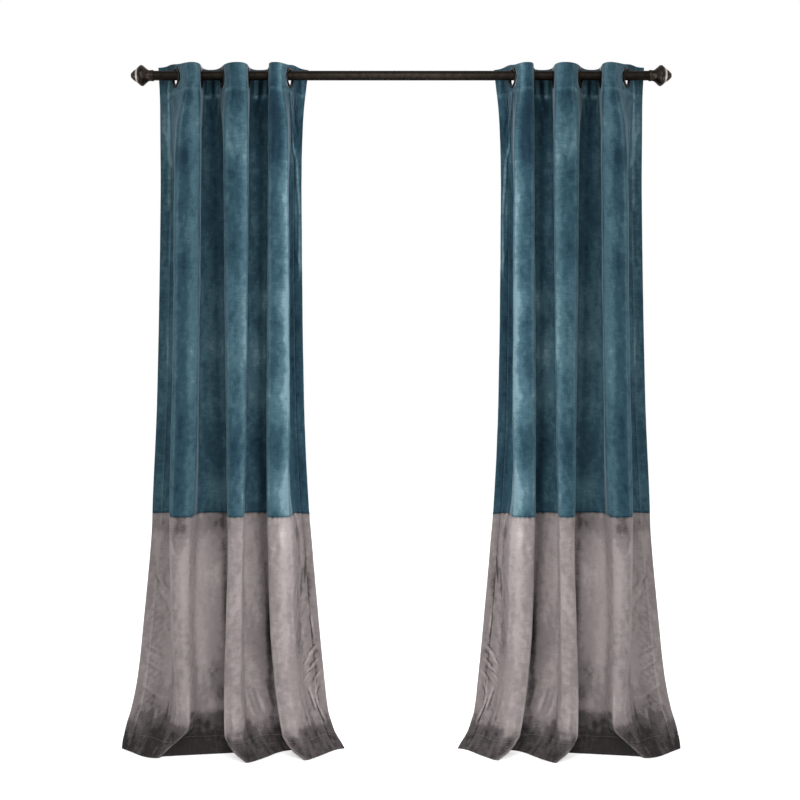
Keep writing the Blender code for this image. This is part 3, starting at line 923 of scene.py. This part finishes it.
def thread_piece(name, lines, side):
    bm = bmesh.new()
    for grid, start, end in lines:
        stitch_line(bm, grid, start, end, side)
    bmesh.ops.recalc_face_normals(bm, faces=bm.faces)
    return mesh_piece(name, bm)


EDGE = CLOTH_WIDTH - SIDE_HEM
HEM_DOWN = LENGTH - BOTTOM_HEM
upper_lines = (
    (upper, (STITCH_MARGIN, HEADING), (CLOTH_WIDTH - STITCH_MARGIN, HEADING)),
    (upper, (SIDE_HEM, HEADING + 6), (SIDE_HEM, SEAM_DOWN - STITCH_MARGIN)),
    (upper, (EDGE, HEADING + 6), (EDGE, SEAM_DOWN - STITCH_MARGIN)),
)
lower_lines = (
    (lower, (STITCH_MARGIN, HEM_DOWN), (CLOTH_WIDTH - STITCH_MARGIN, HEM_DOWN)),
    (lower, (SIDE_HEM, SEAM_DOWN + STITCH_MARGIN), (SIDE_HEM, HEM_DOWN - STITCH_MARGIN)),
    (lower, (EDGE, SEAM_DOWN + STITCH_MARGIN), (EDGE, HEM_DOWN - STITCH_MARGIN)),
)
threads = {}
for word, side in WORDS.items():
    threads[word + "_upper"] = thread_piece(word + "_upper_stitches", upper_lines, side)
    threads[word + "_lower"] = thread_piece(word + "_lower_stitches", lower_lines, side)


# %% Thread's finish
def two_tones(tree, share, dark, pale, start=0.0, end=1.0):
    """A ramp from a dark tone at start to a pale one at end."""
    ramp = add_node(tree, "ValToRGB")
    for stop, place, colour in zip(ramp.color_ramp.elements, (start, end), (dark, pale)):
        stop.position = place
        stop.color = (*colour, 1)
    connect(tree, share, ramp.inputs[0])
    return ramp.outputs[0]


def thread_finish(name, colour):
    """Twisted thread: fine specks of a deeper and a paler tone of its colour."""
    finish, tree, shader = blank_finish(name)
    place = add_node(tree, "TexCoord")
    specks = add_node(tree, "TexNoise", {"Scale": 1500})
    connect(tree, place.outputs["Object"], specks.inputs["Vector"])
    deeper, paler = [c * 0.65 for c in colour], [c * 1.25 for c in colour]
    tones = two_tones(tree, specks.outputs["Fac"], deeper, paler)
    connect(tree, tones, shader.inputs["Base Color"])
    shader.inputs["Roughness"].default_value = 0.55
    return finish


teal_thread = thread_finish("teal thread", (0.14, 0.25, 0.29))
grey_thread = thread_finish("warm grey thread", (0.19, 0.165, 0.16))
for part_name, piece in threads.items():
    piece.data.materials.append(grey_thread if part_name.endswith("lower") else teal_thread)
    print(piece.name, len(piece.data.polygons), "faces")

# %% [markdown]
# ## Eyelets
# An eyelet is two pressed half rings that grip the cloth. Its section is drawn once: a smooth
# flange that curls over from the rim into the bore, mirrored on the other face, with a groove
# between for the cloth. Spinning it gives the ring, which is then stood on its own axis.


# %% Turned pieces
def turned(profile, steps):
    """Spins a closed or open outline of (along, radius) points about X, in millimetres."""
    bm = bmesh.new()
    points = [bm.verts.new((along * MM, 0, radius * MM)) for along, radius in profile]
    edges = [bm.edges.new(pair) for pair in zip(points, points[1:])]
    if profile[0][1] > 0:
        edges.append(bm.edges.new((points[-1], points[0])))
    bmesh.ops.spin(bm, geom=points + edges, axis=(1, 0, 0), cent=(0, 0, 0), angle=math.tau,
                   steps=steps, use_merge=True)
    bmesh.ops.remove_doubles(bm, verts=bm.verts, dist=0.002 * MM)
    bmesh.ops.recalc_face_normals(bm, faces=bm.faces)
    return bm


def finished(name, bm, finish, sharp=45):
    """A turned piece in its finish, with its edges crisp where they turn more than sharp degrees."""
    piece = mesh_piece(name, bm)
    piece.data.set_sharp_from_angle(angle=math.radians(sharp))
    piece.data.materials.append(finish)
    return piece


# %% The eyelet's section
CROWN_RADIUS = 26.0
CLAMP_HALF = 2.0
GROOVE = 1.5
NECK_RADIUS = 24.2


def flange(way):
    """One face of the eyelet's section, from the bore over the crown to the rim."""
    curve = []
    for step in range(9):
        turn = math.pi * step / 8
        reach, height = (4.25, 2.7) if turn < math.pi / 2 else (4.5, 2.646)
        along = CLAMP_HALF + height * math.sin(turn)
        curve.append((way * along, CROWN_RADIUS - reach * math.cos(turn)))
    return curve


groove_line = [(GROOVE, EYELET_RADIUS), (GROOVE, NECK_RADIUS)]
groove_line += [(-GROOVE, NECK_RADIUS), (-GROOVE, EYELET_RADIUS)]
section = flange(-1)[::-1] + flange(1) + groove_line
print("the eyelet's section has", len(section), "points")


# %% Metal finish
def metal(name, dark, pale, roughness, metallic):
    """Metal with a thin coat that is rubbed paler in soft spots, and a satin surface."""
    finish, tree, shader = blank_finish(name)
    place = add_node(tree, "TexCoord")
    rubbed = add_node(tree, "TexNoise", {"Scale": 60, "Detail": 5})
    connect(tree, place.outputs["Object"], rubbed.inputs["Vector"])
    tones = two_tones(tree, rubbed.outputs["Fac"], dark, pale, 0.35, 0.75)
    connect(tree, tones, shader.inputs["Base Color"])
    worn = add_node(tree, "MapRange", {"To Min": roughness + 0.08, "To Max": roughness - 0.06})
    connect(tree, rubbed.outputs["Fac"], worn.inputs["Value"])
    connect(tree, worn.outputs[0], shader.inputs["Roughness"])
    shader.inputs["Metallic"].default_value = metallic
    grain = add_node(tree, "TexNoise", {"Scale": 900})
    connect(tree, place.outputs["Object"], grain.inputs["Vector"])
    bump = add_node(tree, "Bump", {"Strength": 0.12, "Distance": 0.0002})
    connect(tree, grain.outputs["Fac"], bump.inputs["Height"])
    connect(tree, bump.outputs[0], shader.inputs["Normal"])
    return finish


eyelet_metal = metal("eyelet bronze", (0.012, 0.011, 0.011), (0.030, 0.027, 0.025), 0.34, 0.85)
print("finish:", eyelet_metal.name)

# %% Twelve eyelets
eyelets = []
for word, side in WORDS.items():
    for number, (centre, axis) in enumerate(EYELETS, start=1):
        bm = turned(section, 48)
        turn = math.atan2(axis.y, side * axis.x)
        place = Matrix.Translation(Vector((side * centre.x, centre.y, centre.z)) * MM)
        bmesh.ops.transform(bm, matrix=place @ Matrix.Rotation(turn, 4, "Z"), verts=bm.verts)
        eyelets.append(finished(f"{word}_ring_{number}", bm, eyelet_metal))
print(len(eyelets), "eyelets of", len(eyelets[0].data.polygons), "faces")

# %% [markdown]
# ## Rod and finials
# The rod is a plain round tube with the look of oil-rubbed bronze. Each finial is turned: a
# collar, a cone that opens and closes over a rounded ridge, a pale brushed band on its outer
# slope, then a dark bead and a small tip. The outline is that of the solid with its corners
# softened and its ridge a little fuller, by less than 2 mm. The band is a second finish on the
# faces between two places along the axis. Its pale colour is partly the band's own and partly
# a painted reflection.

# %% Rod
ROD_RADIUS = 14.3
rod_metal = metal("rod bronze", (0.012, 0.009, 0.007), (0.022, 0.017, 0.013), 0.46, 0.92)
ROD_END = 762.0
ROD_EDGE = 0.6
half_profile = [(ROD_END, 0), (ROD_END, ROD_RADIUS - ROD_EDGE), (ROD_END - ROD_EDGE, ROD_RADIUS)]
rod_profile = [(-along, radius) for along, radius in half_profile] + half_profile[::-1]
rod = finished("bronze_rod", turned(rod_profile, 64), rod_metal, 30)
print("rod of", len(rod.data.polygons), "faces")

# %% Finials
FINIAL_START = 752.0
SOCKET_DEPTH = 10.3
SOCKET_RADIUS = 14.6
FINIAL_OUTLINE = (
    # along  radius, in millimetres
    (0.0, 16.0), (2.0, 16.8), (7.0, 16.8), (10.0, 15.8), (17.0, 17.2), (29.5, 28.4), (33.0, 31.0),
    (38.0, 31.0), (41.5, 28.6), (54.5, 17.4), (57.0, 16.8), (59.0, 15.2), (66.0, 9.0), (68.5, 6.0),
    (69.0, 0.0),
)
BAND = (46.0, 53.0)


def softened(outline, times):
    """Cuts every inner corner of an outline, which rounds it a little each time."""
    for _ in range(times):
        cut = [outline[0]]
        for (a, b), (c, d) in zip(outline, outline[1:]):
            cut += [(a * 0.8 + c * 0.2, b * 0.8 + d * 0.2), (a * 0.2 + c * 0.8, b * 0.2 + d * 0.8)]
        outline = cut + [outline[-1]]
    return outline


finial_metal = metal("finial bronze", (0.013, 0.009, 0.007), (0.062, 0.046, 0.035), 0.32, 0.80)
# The band's pale colour is partly its own and partly a painted reflection.
band_with_painted_reflection = metal("pale band with painted reflection", (0.40, 0.37, 0.33), (0.66, 0.61, 0.54), 0.34, 0.35)
finials = {}
for word, side in (("left", -1), ("right", 1)):
    socket = [(SOCKET_DEPTH, 0.0), (SOCKET_DEPTH, SOCKET_RADIUS), (0.0, SOCKET_RADIUS)]
    bm = turned(socket + softened(list(FINIAL_OUTLINE), 2), 64)
    for face in bm.faces:
        along = face.calc_center_median().x / MM
        radius = face.calc_center_median().yz.length / MM
        face.material_index = 1 if BAND[0] < along < BAND[1] and radius > 14 else 0
    if side < 0:
        bmesh.ops.rotate(bm, verts=bm.verts, matrix=Matrix.Rotation(math.pi, 3, "Z"))
    bmesh.ops.translate(bm, verts=bm.verts, vec=(side * FINIAL_START * MM, 0, 0))
    finials[word] = finished(word + "_turned_finial", bm, finial_metal, 50)
    finials[word].data.materials.append(band_with_painted_reflection)
    print(finials[word].name, len(finials[word].data.polygons), "faces")

# %% [markdown]
# ## Tie every piece to the imported part
# Nothing here moves on a joint, so all pieces ride on the one body. Each one stands for its
# solid, which stays in the part for collision. Of each lower cloth, 22 mm lean and trail on
# the floor. The boxes of the solids and of what is shown are written down to be compared.

# %% Ride and replace
for part_name, piece in cloths.items():
    word, band = part_name.split("_")
    node = word + ("_upper_cloth" if band == "upper" else "_lower_band")
    thread = threads[part_name]
    for thing in (piece, thread):
        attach(thing, "root")
    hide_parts(node)
for ring in eyelets:
    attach(ring, "root")
    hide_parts(ring.name.replace("_ring_", "_eyelet_"))
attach(rod, "root")
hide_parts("rod")
for word, knob in finials.items():
    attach(knob, "root")
    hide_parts(word + "_finial")
print("pieces tied:", len(cloths) + len(threads) + len(eyelets) + 3)

# %% Sizes, and the end
shown_box = [list(corner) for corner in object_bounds()]
for axis_name, low, high, low_cad, high_cad in zip("XYZ", *shown_box, *cad_box):
    print(axis_name, "shown", round(low, 4), round(high, 4), "solids", round(low_cad, 4), round(high_cad, 4))
